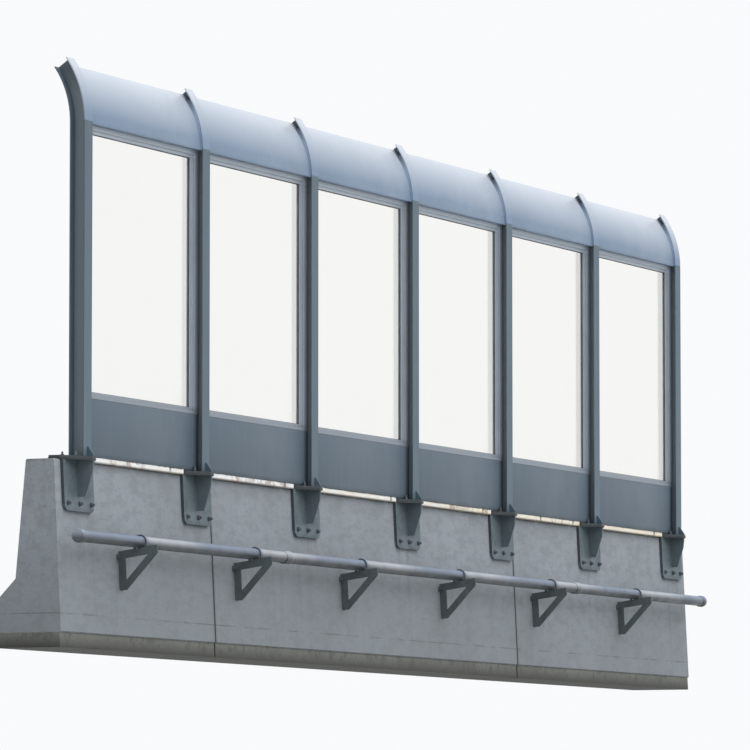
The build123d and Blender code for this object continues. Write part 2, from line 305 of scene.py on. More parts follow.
def makeConcrete():
    look, band = concreteLook, bandLook
    material, tree, shader, place = newMaterial("castConcrete")
    along, _, height = axesOf(tree, place)
    dirt = grimeOf(tree, place, 1.3, 55.0)
    broad = noiseOf(tree, place, 0.45, 2.0)
    base = mixOf(tree, spanOf(tree, broad, 0.35, 0.65), look["plain"], look["pale"])
    lowered = sumOf(tree, height, timesOf(tree, broad, 0.5))
    base = tinted(tree, base, look["low"], spanOf(tree, lowered, *look["lowLevel"]), look["lowShare"])
    base = tinted(tree, base, look["dark"], dirt["Cloud"], look["cloud"])
    base = tinted(tree, base, look["dark"], dirt["Speckle"], look["speckle"])
    mottle = spanOf(tree, noiseOf(tree, stretched(tree, place, (0.42, 1.0, 1.0)), 13.0, 4.0, 0.7), 0.46, 0.6)
    base = tinted(tree, base, look["dark"], mottle, look["mottle"])
    # Run marks, stronger under each bracket
    runs = runsOf(tree, place, 14.0, 0.5, 0.42)
    underPost = spanOf(tree, toPost(tree, along), *look["runWidth"])
    underPlate = timesOf(tree, underPost, spanOf(tree, height, *look["runReach"]))
    runShare = sumOf(tree, look["runs"], timesOf(tree, underPlate, look["runsUnderPlate"]))
    base = tinted(tree, base, look["stain"], runs, runShare)
    # Drip band at the foot, brown and rough
    ragged = sumOf(tree, height, timesOf(tree, noiseOf(tree, place, 9.0, 4.0), band["ragged"]))
    inBand = spanOf(tree, ragged, band["top"] + 0.008, band["top"] + 0.002)
    bandTone = mixOf(tree, spanOf(tree, ragged, band["top"] - 0.01, 0.01), band["plain"], band["foot"])
    blotches = spanOf(tree, noiseOf(tree, place, 13.0, 5.0, 0.65), 0.5, 0.6)
    bandTone = tinted(tree, bandTone, band["blotch"], blotches, band["blotches"])
    bandTone = tinted(tree, bandTone, look["stain"], dirt["Mask"], band["stains"])
    base = tinted(tree, base, bandTone, inBand, band["share"])
    # Soft dirt along both sides of each movement joint
    for index in joints["posts"]:
        beside = apartOf(tree, along, postPlaces[index] + joints["offset"])
        base = mixOf(tree, spanOf(tree, beside, *look["beside"]), base, look["stain"])
    # Broken dark line where the parapet stands on the beam
    offLine = apartOf(tree, height, look["bedLine"])
    broken = spanOf(tree, noiseOf(tree, stretched(tree, place, (1.0, 1.0, 0.1)), 3.0, 5.0, 0.7), 0.44, 0.56)
    line = timesOf(tree, spanOf(tree, offLine, *look["bedLineWidth"]), broken)
    base = tinted(tree, base, look["stain"], line, look["dirtShare"])
    # Darker band on the wall just under the bedding
    underBeddingBand = timesOf(tree, spanOf(tree, height, *look["underBeddingBand"]), dirt["Mask"])
    base = tinted(tree, base, look["stain"], underBeddingBand, look["dirtShare"])
    # Pores
    pores = addNode(tree, "ShaderNodeTexVoronoi", {"Vector": place, "Scale": 16.0, "Randomness": 1.0})
    pore = timesOf(tree, spanOf(tree, pores.outputs["Distance"], 0.085, 0.055),
                   spanOf(tree, noiseOf(tree, place, 2.2, 2.0), 0.5, 0.6))
    base = tinted(tree, base, look["stain"], pore, look["pores"])
    feed(tree, shader, {"Base Color": base, "Roughness": spanOf(tree, dirt["Cloud"], 0.0, 1.0, 0.82, 0.94)})
    relief = sumOf(tree, timesOf(tree, dirt["Speckle"], 0.5), timesOf(tree, dirt["Cloud"], 0.5))
    relief = lessOf(tree, relief, timesOf(tree, pore, 1.2))
    rough = timesOf(tree, inBand, noiseOf(tree, place, 26.0, 5.0, 0.7))
    addBump(tree, shader, sumOf(tree, relief, timesOf(tree, rough, band["relief"])), 0.003, 0.6)
    return material


# Besides the paint tones: a painted sky-light tone for upper parts, painted light and painted shade in the
# post's channel, and painted shade on the foot plate
paintLook = dict(post=colour(88, 106, 118), panel=colour(91, 105, 117), top=colour(130, 149, 172),
                 paintedSkyTone=colour(204, 210, 218), dust=colour(138, 141, 140), bleach=colour(112, 126, 136),
                 strip=colour(176, 196, 218), recessShade=colour(68, 76, 90), channelLight=colour(150, 158, 162),
                 foot=colour(70, 80, 88), footPlate=colour(62, 63, 63), gloss=0.3, paintedSkyLight=(4.0, 4.37),
                 panelFoot=(1.465, 1.44, 0.0, 0.5), channelFoot=(1.40, 1.46), channelLightShare=0.55,
                 recessShadeShare=0.75, footPlateTop=(1.4115, 1.4105, 0.0, 0.8))
crook = dict(axis=0.538, radius=0.85, angle=35.0, flange=0.009, depth=0.125, pale=(3.893, 3.895),
             dark=(4.09, 4.29))


def makePaint(name, plain, dustShare=0.12, streakShare=0.14, roughness=0.42, extra=None):
    material, tree, shader, place = newMaterial(name)
    dirt = grimeOf(tree, place, 2.4, 120.0)
    runs = runsOf(tree, place, 22.0, 0.8, 0.4)
    base = tinted(tree, plain, paintLook["bleach"], dirt["Cloud"], dustShare)
    base = tinted(tree, base, paintLook["dust"], dirt["Mask"], dustShare)
    base = tinted(tree, base, paintLook["dust"], runs, streakShare)
    if extra:
        base = extra(tree, place, base)
    feed(tree, shader, {"Base Color": base, "Specular IOR Level": paintLook["gloss"],
                        "Roughness": spanOf(tree, dirt["Mask"], 0.0, 1.0, roughness, roughness + 0.2)})
    addBump(tree, shader, dirt["Speckle"], 0.0004, 0.5)
    return material


def paintedSkyLight(tree, place, base):
    # Painted light: paler towards the upper edge, where the curved panel turns to face the sky
    height = axesOf(tree, place)[2]
    uneven = sumOf(tree, height, timesOf(tree, noiseOf(tree, place, 0.9, 3.0), 0.09))
    return mixOf(tree, spanOf(tree, uneven, *paintLook["paintedSkyLight"]), base, paintLook["paintedSkyTone"])


def panelFootDarkening(tree, place, base):
    # Darker along the foot of the lower panels
    height = axesOf(tree, place)[2]
    uneven = sumOf(tree, height, timesOf(tree, noiseOf(tree, place, 6.0, 4.0), 0.02))
    return mixOf(tree, spanOf(tree, uneven, *paintLook["panelFoot"]), base, paintLook["foot"])


def postWear(tree, place, base):
    # Painted light between the flanges, painted shade there towards the crook's tip, and the crook's outer
    # flange in the top panel's tone with its painted sky light
    look = paintLook
    _, inwards, height = axesOf(tree, place)
    above = mathOf(tree, "MAXIMUM", lessOf(tree, height, row["springLevel"]), 0.0)
    depth = lessOf(tree, crook["radius"], lengthOf(tree, above, lessOf(tree, inwards, crook["axis"])))
    inside = timesOf(tree, spanOf(tree, depth, crook["flange"] - 0.002, crook["flange"] + 0.012),
                     spanOf(tree, depth, crook["depth"] - crook["flange"] + 0.002, crook["depth"] - 0.02))
    outer = timesOf(tree, spanOf(tree, depth, crook["flange"] + 0.003, crook["flange"]),
                    spanOf(tree, height, *crook["pale"]))
    base = mixOf(tree, outer, base, paintedSkyLight(tree, place, look["top"]))
    inChannel = timesOf(tree, inside, spanOf(tree, height, *look["channelFoot"]))
    base = tinted(tree, base, look["channelLight"], inChannel, look["channelLightShare"])
    tipShade = spanOf(tree, height, *crook["dark"], 0.0, look["recessShadeShare"])
    base = tinted(tree, base, look["recessShade"], inside, tipShade)
    # Painted shade on the foot plate
    return mixOf(tree, spanOf(tree, height, *look["footPlateTop"]), base, look["footPlate"])


# Plain, dull and pale tones of each steel
steelLook = dict(bracket=(colour(94, 107, 112), colour(76, 87, 90), colour(118, 129, 135)),
                 support=(colour(100, 108, 110), colour(82, 89, 90), colour(120, 128, 129)),
                 bolt=(colour(96, 102, 108), colour(76, 82, 87), colour(120, 126, 131)),
                 rust=colour(92, 74, 62))
bracketLook = dict(shade=colour(60, 62, 63), gussetHalf=(0.0075, 0.0065), gussetFoot=(1.08, 1.1), gusset=0.5,
                   plateHalf=(0.2375, 0.2395), plateFoot=(1.0055, 1.0035), edges=0.6,
                   ledgeFoot=(1.3795, 1.3805), ledge=0.9, anchors=1.062, aroundAnchors=(0.05, 0.02, 0.0, 0.5))


def bracketShade(tree, place, base):
    # Painted shade on the ledge and the plate's edges, painted light on the gusset and around the anchors
    look = bracketLook
    along, _, height = axesOf(tree, place)
    across = toPost(tree, along)
    onGusset = timesOf(tree, spanOf(tree, across, *look["gussetHalf"]),
                       spanOf(tree, height, *look["gussetFoot"]))
    onEdge = mathOf(tree, "MAXIMUM", spanOf(tree, across, *look["plateHalf"]),
                    spanOf(tree, height, *look["plateFoot"]))
    onLedge = spanOf(tree, height, *look["ledgeFoot"])
    shaded = mathOf(tree, "MAXIMUM", timesOf(tree, onLedge, look["ledge"]),
                    timesOf(tree, onEdge, look["edges"]))
    nearAnchors = spanOf(tree, apartOf(tree, height, look["anchors"]), *look["aroundAnchors"])
    litPatches = mathOf(tree, "MAXIMUM", nearAnchors, timesOf(tree, onGusset, look["gusset"]))
    base = mixOf(tree, litPatches, base, steelLook["bracket"][2])
    return mixOf(tree, shaded, base, look["shade"])


def makeZinc(name, plain, dull, pale, rustShare, extra=None):
    material, tree, shader, place = newMaterial(name)
    dirt = grimeOf(tree, place, 7.0, 160.0)
    spangle = addNode(tree, "ShaderNodeTexVoronoi", {"Vector": place, "Scale": 70.0}).outputs["Color"]
    spangleTone = addNode(tree, "ShaderNodeSeparateColor", {0: spangle}).outputs[0]
    base = tinted(tree, plain, pale, spangleTone, 0.35)
    base = tinted(tree, base, dull, dirt["Mask"], 0.5)
    rust = spanOf(tree, noiseOf(tree, place, 11.0, 6.0, 0.7), 0.6, 0.7)
    base = tinted(tree, base, steelLook["rust"], rust, rustShare)
    if extra:
        base = extra(tree, place, base)
    feed(tree, shader, {"Base Color": base, "Metallic": 0.2, "Specular IOR Level": 0.3,
                        "Roughness": spanOf(tree, dirt["Mask"], 0.0, 1.0, 0.5, 0.75)})
    addBump(tree, shader, dirt["Speckle"], 0.0004, 0.4)
    return material


# The plain tone is raised as painted light for the shaded stiles and top rail; the bottom rail's darker tone
# is the frame without it
aluminiumLook = dict(plain=colour(172, 181, 190), drawn=colour(156, 165, 176), dirt=colour(128, 133, 136),
                     run=colour(112, 116, 118), dust=colour(136, 143, 152), paintedTopRailLight=colour(202, 212, 222),
                     bottomRail=(1.915, 1.885, 0.0, 0.8), topRail=(3.812, 3.822, 0.0, 0.3))


def makeAluminium():
    look = aluminiumLook
    material, tree, shader, place = newMaterial("frameAluminium")
    dirt = grimeOf(tree, place, 4.0, 140.0)
    runs = runsOf(tree, place, 30.0, 0.7, 0.4)
    drawn = noiseOf(tree, stretched(tree, place, (300.0, 300.0, 3.0)), 1.0, 2.0)
    base = tinted(tree, look["plain"], look["drawn"], drawn, 0.35)
    base = tinted(tree, base, look["dirt"], dirt["Mask"], 0.2)
    base = tinted(tree, base, look["run"], runs, 0.15)
    # Painted light: the frame's tone is raised for the stiles and top rail in the curved head's shade, taken
    # down again on the bottom rail, and raised further on the top rail
    height = axesOf(tree, place)[2]
    base = mixOf(tree, spanOf(tree, height, *look["bottomRail"]), base, look["dust"])
    base = mixOf(tree, spanOf(tree, height, *look["topRail"]), base, look["paintedTopRailLight"])
    feed(tree, shader, {"Base Color": base, "Metallic": 0.25, "Specular IOR Level": 0.35,
                        "Roughness": spanOf(tree, drawn, 0.0, 1.0, 0.36, 0.5)})
    return material


sheetLook = dict(tint=(0.955, 0.945, 0.915, 1.0), shadow=(0.94, 0.93, 0.90, 1.0), index=1.49,
                 film=(2.6, 1.9, 0.3, 1.0), filmRoughness=0.12, waves=0.0006)


def makeClearSheet():
    # Clear acrylic that lets lamps through, with a thin film of dirt that is thicker towards the foot
    look = sheetLook
    material, tree, shader, place = newMaterial("clearAcrylic")
    height = axesOf(tree, place)[2]
    film = timesOf(tree, noiseOf(tree, place, 2.0, 4.0, 0.6), spanOf(tree, height, *look["film"]))
    feed(tree, shader, {"Base Color": look["tint"], "Transmission Weight": 1.0, "IOR": look["index"],
                        "Roughness": spanOf(tree, film, 0.15, 0.7, 0.0, look["filmRoughness"])})
    waves = noiseOf(tree, stretched(tree, place, (1.0, 1.0, 0.6)), 3.5, 1.0)
    addBump(tree, shader, waves, look["waves"], 0.5)
    lamps = tree.nodes.new("ShaderNodeLightPath").outputs["Is Shadow Ray"]
    through = addNode(tree, "ShaderNodeBsdfTransparent", {"Color": look["shadow"]})
    shown = addNode(tree, "ShaderNodeMixShader", {0: lamps, 1: shader.outputs[0], 2: through.outputs[0]})
    tree.links.new(shown.outputs[0], tree.nodes["Material Output"].inputs["Surface"])
    return material


rubberLook = dict(plain=colour(62, 64, 70), dust=colour(98, 98, 98), dustShare=0.4)


def makeRubber():
    look = rubberLook
    material, tree, shader, place = newMaterial("sealRubber")
    dirt = grimeOf(tree, place, 8.0, 150.0)
    base = tinted(tree, look["plain"], look["dust"], dirt["Mask"], look["dustShare"])
    feed(tree, shader, {"Base Color": base, "Roughness": 0.7})
    return material


mortarLook = dict(plain=colour(255, 255, 255), cream=colour(248, 238, 214), dirt=colour(184, 168, 148),
                  worn=colour(158, 136, 124), foot=colour(140, 128, 112), creamAlong=(-3.0, 2.0, 0.0, 0.7),
                  dirtShare=0.06, wornShare=0.6, footLevel=(1.391, 1.383), footShare=0.6)


def makeMortar():
    look = mortarLook
    material, tree, shader, place = newMaterial("beddingMortar")
    dirt = grimeOf(tree, place, 6.0, 100.0)
    patches = noiseOf(tree, stretched(tree, place, (1.0, 0.2, 0.2)), 2.2, 3.0)
    along, _, height = axesOf(tree, place)
    creamer = sumOf(tree, spanOf(tree, along, *look["creamAlong"]),
                    spanOf(tree, patches, 0.45, 0.65, 0.0, 0.35))
    base = mixOf(tree, creamer, look["plain"], look["cream"])
    base = tinted(tree, base, look["dirt"], dirt["Mask"], look["dirtShare"])
    # Broken, browner lengths
    lengths = spanOf(tree, noiseOf(tree, stretched(tree, place, (1.0, 0.1, 0.1)), 0.9), 0.5, 0.56)
    worn = timesOf(tree, lengths, spanOf(tree, noiseOf(tree, place, 11.0, 3.0), 0.46, 0.56))
    base = tinted(tree, base, look["worn"], worn, look["wornShare"])
    base = tinted(tree, base, look["foot"], spanOf(tree, height, *look["footLevel"]), look["footShare"])
    feed(tree, shader, {"Base Color": base, "Roughness": 0.9})
    addBump(tree, shader, dirt["Speckle"], 0.0015, 0.7)
    return material


perforation = dict(spacing=0.014, radius=0.0042, hole=colour(34, 38, 42))


def makePerforatedPaint():
    # Rows of small round holes, each row shifted by half a spacing
    def holes(tree, place, base):
        step = perforation["spacing"]
        along, _, height = axesOf(tree, place)
        rows = mathOf(tree, "DIVIDE", height, step)
        shift = timesOf(tree, mathOf(tree, "MODULO", mathOf(tree, "FLOOR", rows), 2.0), 0.5)
        # Whole spacings added keep the share positive
        counted = sumOf(tree, sumOf(tree, mathOf(tree, "DIVIDE", along, step), shift), 1000.0)
        sideways = lessOf(tree, mathOf(tree, "FRACT", counted), 0.5)
        upwards = lessOf(tree, mathOf(tree, "FRACT", rows), 0.5)
        share = perforation["radius"] / step
        inHole = spanOf(tree, lengthOf(tree, sideways, upwards), share * 1.1, share * 0.9)
        return mixOf(tree, inHole, base, perforation["hole"])

    return makePaint("perforatedPaint", paintLook["panel"], extra=holes)


pipeLook = dict(dull=colour(130, 142, 160), pale=colour(182, 186, 192), dirt=colour(116, 118, 116),
                under=colour(72, 76, 78), highlightFrom=0.72, highlightSpan=(0.62, 0.36), wander=0.12, dirtShare=0.18,
                underFrom=0.03, underTo=-0.014, underWander=0.008, underShadeShare=0.92)


def makePipeZinc():
    # Painted highlight just past each clamp, duller further on, and painted shade along the underside
    look = pipeLook
    material, tree, shader, place = newMaterial("pipeZinc")
    low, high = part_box("conduit")
    middle = (low.z + high.z) / 2
    dirt = grimeOf(tree, place, 5.0, 130.0)
    along, _, height = axesOf(tree, place)
    fromClamp = timesOf(tree, lessOf(tree, along, look["highlightFrom"]), 1 / row["pitch"])
    share = mathOf(tree, "FRACT", sumOf(tree, fromClamp, 50.0))
    wavy = sumOf(tree, share, timesOf(tree, noiseOf(tree, place, 1.7, 3.0), look["wander"]))
    pipeHighlight = timesOf(tree, spanOf(tree, wavy, *look["highlightSpan"]), spanOf(tree, share, 0.0, 0.02))
    base = mixOf(tree, pipeHighlight, look["dull"], look["pale"])
    base = tinted(tree, base, look["dirt"], dirt["Mask"], look["dirtShare"])
    wander = timesOf(tree, noiseOf(tree, place, 7.0, 3.0), look["underWander"])
    under = spanOf(tree, sumOf(tree, height, wander), middle + look["underFrom"], middle + look["underTo"])
    base = tinted(tree, base, look["under"], under, look["underShadeShare"])
    feed(tree, shader, {"Base Color": base, "Metallic": 0.2, "Specular IOR Level": 0.35,
                        "Roughness": spanOf(tree, dirt["Mask"], 0.0, 1.0, 0.4, 0.6)})
    return material


concrete = makeConcrete()
postPaint = makePaint("postPaint", paintLook["post"], extra=postWear)
panelPaint = makePaint("panelPaint", paintLook["panel"], 0.08, 0.08, extra=panelFootDarkening)
topPaint = makePaint("topPanelPaint", paintLook["top"], 0.08, 0.06, 0.34, paintedSkyLight)
perforatedPaint = makePerforatedPaint()
bracketZinc = makeZinc("bracketZinc", *steelLook["bracket"], 0.2, bracketShade)
supportZinc = makeZinc("supportZinc", *steelLook["support"], 0.3)
boltZinc = makeZinc("boltZinc", *steelLook["bolt"], 0.4)
aluminium = makeAluminium()
clearSheet = makeClearSheet()
rubber = makeRubber()
mortar = makeMortar()
pipeZinc = makePipeZinc()
print("materials made")


def dress(node, material):
    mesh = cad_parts[node].data
    mesh.materials.clear()
    mesh.materials.append(material)


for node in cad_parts:
    if node.startswith("parapet_segment") or node == "edge_beam":
        dress(node, concrete)
    elif node.startswith("post_bracket"):
        dress(node, bracketZinc)
    elif node.startswith("post_"):
        dress(node, postPaint)
    elif node == "conduit_brackets":
        dress(node, supportZinc)


# Curved top panels

topPanel = dict(backRadius=0.736, tipRadius=0.793, tipSetback=0.008, edge=0.004, steps=20)
tipAngle = radians(crook["angle"]) - topPanel["tipSetback"] / crook["radius"]


def spinArc(bm, start, centre, angle, steps):
    # A chain of edges that starts at a point and turns about an axis along the row
    first = bm.verts.new(start)
    made = bmesh.ops.spin(bm, geom=[first], cent=centre, axis=(1, 0, 0), angle=angle, steps=steps)
    last = [g for g in made["geom_last"] if isinstance(g, bmesh.types.BMVert)][0]
    return first, last


def frontArc(low):
    # Radius and sweep of the panel's front, upright at its foot
    run = crook["axis"] - topPanel["tipRadius"] * cos(tipAngle) - low.y
    rise = topPanel["tipRadius"] * sin(tipAngle)
    return (run * run + rise * rise) / (2 * run), 2 * atan2(run, rise)


def closeAndStretch(bm, ends, length):
    # Closes the outline between the ends of its two arcs and draws it along the row
    for pair in ends:
        bm.edges.new(pair)
    bmesh.ops.contextual_create(bm, geom=list(bm.edges))
    made = bmesh.ops.extrude_face_region(bm, geom=list(bm.faces))
    moved = [g for g in made["geom"] if isinstance(g, bmesh.types.BMVert)]
    bmesh.ops.translate(bm, vec=(length, 0, 0), verts=moved)
    bmesh.ops.recalc_face_normals(bm, faces=list(bm.faces))


def makeTopPanel(number):
    spec = topPanel
    low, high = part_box(f"top_panel_{number}")
    level = low.z
    axis = crook["axis"]
    frontRadius, frontSweep = frontArc(low)
    bm = bmesh.new()
    backFoot, backTip = spinArc(bm, (low.x, axis - spec["backRadius"], level), (low.x, axis, level),
                                -tipAngle, spec["steps"])
    frontFoot, frontTip = spinArc(bm, (low.x, low.y, level), (low.x, low.y + frontRadius, level), -frontSweep,
                                  spec["steps"])
    closeAndStretch(bm, ((backFoot, frontFoot), (backTip, frontTip)), high.x - low.x)
    bevelSharp(bm, 40, spec["edge"], 2)
    # Perforated towards the road, but not on the bevels
    for face in bm.faces:
        if face.normal.y > 0.5 and face.calc_area() > 0.01:
            face.material_index = 1
    return finishPiece(bm, f"topPanel{number}", topPaint, 30, (perforatedPaint,))


for number in bayNumbers:
    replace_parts(makeTopPanel(number), f"top_panel_{number}")
print("top panels made")


# Strips in the slit between each crook's outer flange and the top panels

# near and far lie beside the post's middle, reach is a share of the crook's angle
crookStrip = dict(near=0.016, far=0.0622, slack=0.0006, reach=0.8, steps=14, fade=(4.15, 4.29))


def makeStripPaint():
    # Pale as painted light, so that it looks like the panels though the flange shades it, and painted shade
    # at the upper end
    def recessShade(tree, place, base):
        upper = spanOf(tree, axesOf(tree, place)[2], *crookStrip["fade"])
        return mixOf(tree, upper, base, paintLook["recessShade"])

    return makePaint("stripPaint", paintLook["strip"], 0.1, 0.0, 0.6, recessShade)


def makeCrookStrips():
    spec = crookStrip
    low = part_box("top_panel_1")[0]
    level = low.z
    sweep = radians(crook["angle"]) * spec["reach"]
    backRadius = crook["radius"] - crook["flange"] - spec["slack"]
    panelRadius = frontArc(low)[0]
    frontRadius = panelRadius + spec["slack"]
    frontSweep = asin(backRadius * sin(sweep) / frontRadius)
    one = bmesh.new()
    backFoot, backTip = spinArc(one, (spec["near"], crook["axis"] - backRadius, level),
                                (spec["near"], crook["axis"], level), -sweep, spec["steps"])
    frontFoot, frontTip = spinArc(one, (spec["near"], low.y - spec["slack"], level),
                                  (spec["near"], low.y + panelRadius, level), -frontSweep, spec["steps"])
    closeAndStretch(one, ((backFoot, frontFoot), (backTip, frontTip)), spec["far"] - spec["near"])
    bm = bmesh.new()
    for left, right in zip(postPlaces[:-1], postPlaces[1:]):
        for place in (left, right - spec["near"] - spec["far"]):
            stamp(bm, one, Matrix.Translation((place, 0, 0)))
    one.free()
    return finishPiece(bm, "crookStrips", makeStripPaint(), 40)


makeCrookStrips()
print("crook strips made")


# Lower panels

lowerPanel = dict(edge=0.004, rim=0.045, fieldSlope=0.004, fieldDepth=0.004)


def makeLowerPanel(number):
    spec = lowerPanel
    low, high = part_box(f"lower_panel_{number}")
    bm = bmesh.new()
    addBlock(bm, low, high, spec["edge"], 2)
    bm.normal_update()
    roadFace = max((f for f in bm.faces if f.normal.y > 0.9), key=lambda f: f.calc_area())
    bmesh.ops.inset_region(bm, faces=[roadFace], thickness=spec["rim"], depth=0)
    bmesh.ops.inset_region(bm, faces=[roadFace], thickness=spec["fieldSlope"], depth=-spec["fieldDepth"])
    roadFace.material_index = 1
    return finishPiece(bm, f"lowerPanel{number}", panelPaint, 30, (perforatedPaint,))


for number in bayNumbers:
    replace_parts(makeLowerPanel(number), f"lower_panel_{number}")
print("lower panels made")


# Glazed frames, sheets and seals

# Widths of the frame's bars, and of the set-back bead along the inside of each
glazing = dict(stile=0.123, topRail=0.062, bottomRail=0.048, sideBead=0.044, topBead=0.026, bottomBead=0.024,
               beadSetback=0.014, groove=0.016, sheetSlack=0.00025, edge=0.0015, sheetEdge=0.001, seal=0.005,
               sealSlack=0.0002)


def openingCorners(low, high, side, top, bottom, depth):
    # Corners of a rectangle inside the frame, in order round the opening
    spec = glazing
    left, right = low.x + spec["stile"] - side, high.x - spec["stile"] + side
    under, over = low.z + spec["bottomRail"] - bottom, high.z - spec["topRail"] + top
    return [(left, depth, under), (right, depth, under), (right, depth, over), (left, depth, over)]


def sweepRings(bm, rings):
    # Draws a rectangle out through each of the others and back to itself, with mitred corners
    corners = [bm.verts.new(corner) for corner in rings[0]]
    edges = [bm.edges.new((corners[i], corners[(i + 1) % 4])) for i in range(4)]
    for ring in rings[1:] + rings[:1]:
        made = bmesh.ops.extrude_edge_only(bm, edges=edges)["geom"]
        edges = [g for g in made if isinstance(g, bmesh.types.BMEdge) and not set(g.verts) & set(corners)]
        fresh = {v for e in edges for v in e.verts}
        corners = [next(e.other_vert(old) for e in old.link_edges if e.other_vert(old) in fresh)
                   for old in corners]
        for vert, spot in zip(corners, ring):
            vert.co = spot
    bmesh.ops.remove_doubles(bm, verts=list(bm.verts), dist=0.00001)
    bmesh.ops.recalc_face_normals(bm, faces=list(bm.faces))


def makeGlassFrame(number):
    spec = glazing
    low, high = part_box(f"glass_frame_{number}")
    front, back = low.y, high.y
    bead = front + spec["beadSetback"]
    sheetLow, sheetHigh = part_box(f"glass_sheet_{number}")
    lipBack = sheetLow.y - spec["sheetSlack"]
    grooveBack = sheetHigh.y + spec["sheetSlack"]
    outer = [(low.x, front, low.z), (high.x, front, low.z), (high.x, front, high.z), (low.x, front, high.z)]
    beads = (spec["sideBead"], spec["topBead"], spec["bottomBead"])
    grooves = (spec["groove"],) * 3
    flush = (0, 0, 0)
    # From the front over the bead, through the groove and out at the back
    inner = [openingCorners(low, high, *widths, depth) for widths, depth in (
        (beads, front), (beads, bead), (flush, bead), (flush, lipBack), (grooves, lipBack),
        (grooves, grooveBack), (flush, grooveBack), (flush, back))]
    bm = bmesh.new()
    sweepRings(bm, [outer, *inner, [(x, back, z) for x, _, z in outer]])
    bevelSharp(bm, 40, spec["edge"], 1)
    return finishPiece(bm, f"glassFrame{number}", aluminium, 30)


def makeSheet(number):
    low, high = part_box(f"glass_sheet_{number}")
    bm = bmesh.new()
    addBlock(bm, low, high, glazing["sheetEdge"])
    return finishPiece(bm, f"clearSheet{number}", clearSheet, 0)


def makeSeals():
    # A slim rubber bead on both faces of each sheet, in the corner with the frame's lip
    spec = glazing
    bm = bmesh.new()
    for number in bayNumbers:
        low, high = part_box(f"glass_frame_{number}")
        sheetLow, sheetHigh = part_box(f"glass_sheet_{number}")
        for face, away in ((sheetLow.y, -1), (sheetHigh.y, 1)):
            near, far = face + away * spec["sealSlack"], face + away * spec["seal"]
            ring = bmesh.new()
            sweepRings(ring, [openingCorners(low, high, width, width, width, depth)
                              for width, depth in ((0, near), (-spec["seal"], near), (0, far))])
            stamp(bm, ring, Matrix.Identity(4))
            ring.free()
    return finishPiece(bm, "glazingSeals", rubber, 0)


for number in bayNumbers:
    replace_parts(makeGlassFrame(number), f"glass_frame_{number}")
    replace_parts(makeSheet(number), f"glass_sheet_{number}")
makeSeals()
print("glazing made")


# Bedding and gaskets under the panels

bedding = dict(step=0.035, sag=0.006, topSag=0.002, edge=0.004, seed=11, gap=0.032, endGap=0.255,
               gaps={1: (0.85,), 2: (0.89,), 3: (0.93,), 4: (0.88,), 5: (0.4, 0.9), 6: (0.87,)})


def makeBedding():
    spec = bedding
    rng = random.Random(spec["seed"])
    low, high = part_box("bedding_strip")
    halfLength = row["pitch"] / 2 - spec["endGap"]
    bm = bmesh.new()
    for number, middle in enumerate(bayPlaces, 1):
        ends = [0.0, *spec["gaps"][number], 1.0]
        for first, last in zip(ends[:-1], ends[1:]):
            left = middle - halfLength + first * 2 * halfLength + (spec["gap"] / 2 if first else 0)
            right = middle - halfLength + last * 2 * halfLength - (spec["gap"] / 2 if last < 1 else 0)
            made = addBlock(bm, (left, low.y, low.z), (right, high.y, high.z))
            edges = {e for v in made for e in v.link_edges if abs((e.verts[0].co - e.verts[1].co).x) > 0.01}
            cuts = max(2, int((right - left) / spec["step"]))
            bmesh.ops.subdivide_edges(bm, edges=list(edges), cuts=cuts, use_grid_fill=True)
    for vert in bm.verts:
        if vert.co.y < low.y + 0.001:
            vert.co.y += rng.uniform(0, spec["sag"])
        if vert.co.z > high.z - 0.001:
            vert.co.z -= rng.uniform(0, spec["topSag"])
    bevelSharp(bm, 60, spec["edge"], 2)
    return finishPiece(bm, "beddingMortar", mortar, 50)


# near and far lie beside the post's middle, front and back behind the lower panels' outer face
gasket = dict(near=0.0135, far=0.247, front=0.006, back=0.03, slack=0.0004)


def makeGaskets():
    # Dark rubber that closes the slit between each foot plate and the panels beside it
    spec = gasket
    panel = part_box("lower_panel_1")[0]
    foot = row["footPlateTop"] + spec["slack"]
    bm = bmesh.new()
    for place in postPlaces:
        for side in (-1, 1):
            # Only where a bay lies on that side
            if abs(place + side * row["pitch"] / 2) < -postPlaces[0]:
                near, far = sorted((place + side * spec["near"], place + side * spec["far"]))
                addBlock(bm, (near, panel.y + spec["front"], foot),
                         (far, panel.y + spec["back"], panel.z - spec["slack"]))
    return finishPiece(bm, "footGaskets", rubber, 0)


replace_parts(makeBedding(), "bedding_strip")
makeGaskets()
print("bedding made")


# Pipe with its sleeves, caps and clamps

pipe = dict(radius=0.0445, sleeveRadius=0.051, sleeveLength=0.12, sleeveEdge=0.004, capLength=0.07,
            capEdge=0.008, offset=1.25, bayStep=3, sides=48)
clamp = dict(rod=0.006, slack=0.0005, legReach=0.03, nut=0.011, nutHeight=0.01,
             nutsFromArm=(0.006, 0.0055), supportOffset=0.68, alongArm=0.006, armThickness=0.006, armRise=8.0,
             seat=0.0003, sides=10, bends=16)


def makePipe():
    spec = pipe
    low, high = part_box("conduit")
    alongRow = Matrix.Rotation(pi / 2, 4, "Y")
    bm = bmesh.new()

    def addLength(place, radius, length, edge):
        spot = Matrix.Translation((place, (low.y + high.y) / 2, (low.z + high.z) / 2))
        addRod(bm, radius, length, spot @ alongRow, spec["sides"], edge)

    addLength(0, spec["radius"], high.x - low.x - spec["capLength"], 0)
    for place in postPlaces[1:-1:spec["bayStep"]]:
        addLength(place + spec["offset"], spec["sleeveRadius"], spec["sleeveLength"], spec["sleeveEdge"])
    for place in (low.x + spec["capLength"] / 2, high.x - spec["capLength"] / 2):
        addLength(place, spec["sleeveRadius"], spec["capLength"], spec["capEdge"])
    return finishPiece(bm, "conduitPipe", pipeZinc, 35)


